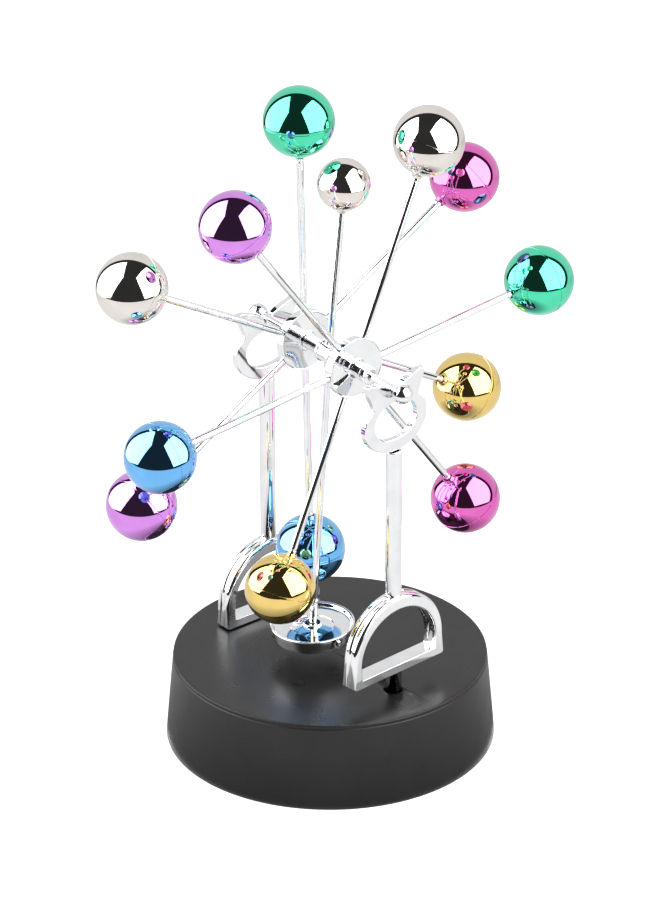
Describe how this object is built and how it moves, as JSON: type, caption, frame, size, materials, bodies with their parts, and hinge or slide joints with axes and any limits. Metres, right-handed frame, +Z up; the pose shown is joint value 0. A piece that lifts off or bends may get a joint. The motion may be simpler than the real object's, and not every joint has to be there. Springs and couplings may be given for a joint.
{
  "type": "magnetic desk mobile",
  "caption": "Battery-driven desk toy: two wheels of mirror balls on spokes and a magnetic pendulum share one axle, held by two chrome stands on a round black base.",
  "frame": {"origin": "centre of the base's underside, on the table", "axes": "+Z up, the axle along Y with the front at -Y, both wheels and the pendulum in XZ planes"},
  "size_m": [0.1604, 0.1, 0.2072],
  "materials": {
    "base_plastic": "satin black moulded",
    "cover_plastic": "matt black moulded",
    "chrome": "bright chrome plate",
    "steel": "plain",
    "copper": "enamelled copper wire",
    "bobbin": "moulded",
    "board": "solder mask",
    "cell": "printed sleeve, plain",
    "ball_silver": "vacuum-metallised, mirror",
    "ball_green": "vacuum-metallised, mirror",
    "ball_magenta": "vacuum-metallised, mirror",
    "ball_gold": "vacuum-metallised, mirror",
    "ball_blue": "vacuum-metallised, mirror",
    "ball_purple": "vacuum-metallised, mirror"
  },
  "bodies": {
    "stand": {"base_shell": "base_plastic", "bottom_cover": "cover_plastic", "battery_1": "cell", "battery_2": "cell", "battery_3": "cell", "contact_spring_1": "steel", "contact_spring_2": "steel", "contact_spring_3": "steel", "coil_bobbin": "bobbin", "coil_winding": "copper", "circuit_board": "board", "cover_screw_1": "steel", "cover_screw_2": "steel", "cover_screw_3": "steel", "front_foot": "chrome", "front_column": "chrome", "front_head": "chrome", "rear_foot": "chrome", "rear_column": "chrome", "rear_head": "chrome"},
    "battery_door": {"battery_door": "cover_plastic"},
    "switch": {"switch_slider": "cover_plastic"},
    "pendulum": {"axle": "chrome", "axle_ball_front": "chrome", "axle_ball_rear": "chrome", "collar_front": "chrome", "collar_rear": "chrome", "pendulum_hub": "chrome", "pendulum_upper_rod": "chrome", "pendulum_lower_rod": "chrome", "counterweight_ball": "ball_silver", "pendulum_dish": "chrome", "pendulum_magnet": "steel"},
    "front_wheel": {"front_hub": "chrome", "front_spoke_silver": "chrome", "front_spoke_green": "chrome", "front_spoke_magenta": "chrome", "front_spoke_gold": "chrome", "front_spoke_blue": "chrome", "front_spoke_purple": "chrome", "front_ball_silver": "ball_silver", "front_ball_green": "ball_green", "front_ball_magenta": "ball_magenta", "front_ball_gold": "ball_gold", "front_ball_blue": "ball_blue", "front_ball_purple": "ball_purple"},
    "rear_wheel": {"rear_hub": "chrome", "rear_spoke_silver": "chrome", "rear_spoke_green": "chrome", "rear_spoke_magenta": "chrome", "rear_spoke_gold": "chrome", "rear_spoke_blue": "chrome", "rear_spoke_purple": "chrome", "rear_ball_silver": "ball_silver", "rear_ball_green": "ball_green", "rear_ball_magenta": "ball_magenta", "rear_ball_gold": "ball_gold", "rear_ball_blue": "ball_blue", "rear_ball_purple": "ball_purple"}
  },
  "joints": [
    {"name": "pendulum_swing", "type": "hinge", "parent": "stand", "child": "pendulum", "pos_m": [0, 0, 0.1264], "axis": [0, 1, 0], "continuous": true},
    {"name": "front_wheel_spin", "type": "hinge", "parent": "pendulum", "child": "front_wheel", "pos_m": [0, -0.012, 0.1264], "axis": [0, 1, 0], "continuous": true},
    {"name": "rear_wheel_spin", "type": "hinge", "parent": "pendulum", "child": "rear_wheel", "pos_m": [0, 0.012, 0.1264], "axis": [0, 1, 0], "continuous": true},
    {"name": "battery_door_lift", "type": "slide", "parent": "stand", "child": "battery_door", "axis": [0, 0, -1], "range_m": [0, 0.03]},
    {"name": "switch_slide", "type": "slide", "parent": "stand", "child": "switch", "axis": [0, 1, 0], "range_m": [0, 0.0036]}
  ]
}
